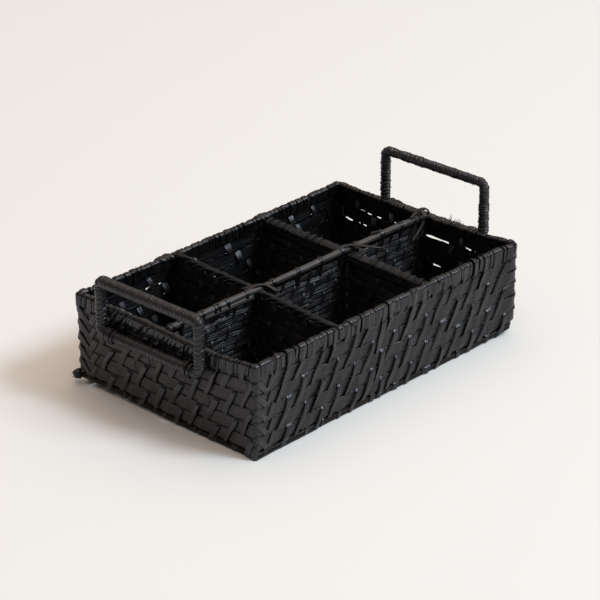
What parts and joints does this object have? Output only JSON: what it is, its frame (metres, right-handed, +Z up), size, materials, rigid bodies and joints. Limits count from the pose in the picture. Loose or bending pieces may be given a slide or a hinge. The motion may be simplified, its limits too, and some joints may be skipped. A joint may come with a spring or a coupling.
{
  "type": "divided storage basket",
  "caption": "Open woven cane caddy basket in black, divided into compartments by crossed woven panels, with a wrapped loop handle lashed to each end.",
  "frame": {"origin": "middle of the underside of the woven base, on the surface it stands on", "axes": "+X along the length, from the near-end handle to the far-end handle; +Y across the basket, from the front long wall to the back long wall; +Z up"},
  "size_m": [0.3666, 0.2219, 0.139],
  "materials": {
    "weave": "matte black-dyed split cane, flat woven strips with fine lengthwise grain",
    "stakes": "black-dyed narrow cane strip with a slight sheen on its skin side",
    "splint": "brown-black stained bamboo splint, satin",
    "rod": "worn brown-black cane rod, satin",
    "handle_wrap": "close helical wrap of narrow black cane strip, satin"
  },
  "bodies": {
    "basket": {"base_panel": "weave", "front_base_splint": "splint", "back_base_splint": "splint", "near_base_splint": "splint", "far_base_splint": "splint", "base_ties": "stakes", "front_wall_weave": "weave", "back_wall_weave": "weave", "near_wall_weave": "weave", "far_wall_weave": "weave", "front_wall_stakes": "stakes", "back_wall_stakes": "stakes", "near_wall_stakes": "stakes", "far_wall_stakes": "stakes", "front_near_corner": "stakes", "front_far_corner": "stakes", "back_near_corner": "stakes", "back_far_corner": "stakes", "front_rim": "weave", "back_rim": "weave", "near_rim": "weave", "far_rim": "weave", "front_rim_wraps": "stakes", "back_rim_wraps": "stakes", "near_rim_wraps": "stakes", "far_rim_wraps": "stakes", "spine_panel": "weave", "spine_rod": "rod", "spine_lashings": "stakes", "near_cross_front": "weave", "near_cross_back": "weave", "far_cross_front": "weave", "far_cross_back": "weave", "near_braid_front": "stakes", "near_braid_back": "stakes", "far_binding_front": "stakes", "far_binding_back": "stakes", "near_handle_ties": "stakes", "far_handle_ties": "stakes", "corner_knot": "stakes"},
    "near_handle": {"near_handle_core": "rod", "near_handle_wrap": "handle_wrap"},
    "far_handle": {"far_handle_core": "rod", "far_handle_wrap": "handle_wrap"}
  },
  "joints": [
    {"name": "near_handle_pivot", "type": "hinge", "parent": "basket", "child": "near_handle", "pos_m": [-0.17665, 0.01, 0.065], "axis": [0, -1, 0], "range_deg": [0, 178]},
    {"name": "far_handle_pivot", "type": "hinge", "parent": "basket", "child": "far_handle", "pos_m": [0.17665, -0.007, 0.0804], "axis": [0, 1, 0], "range_deg": [0, 178]}
  ]
}
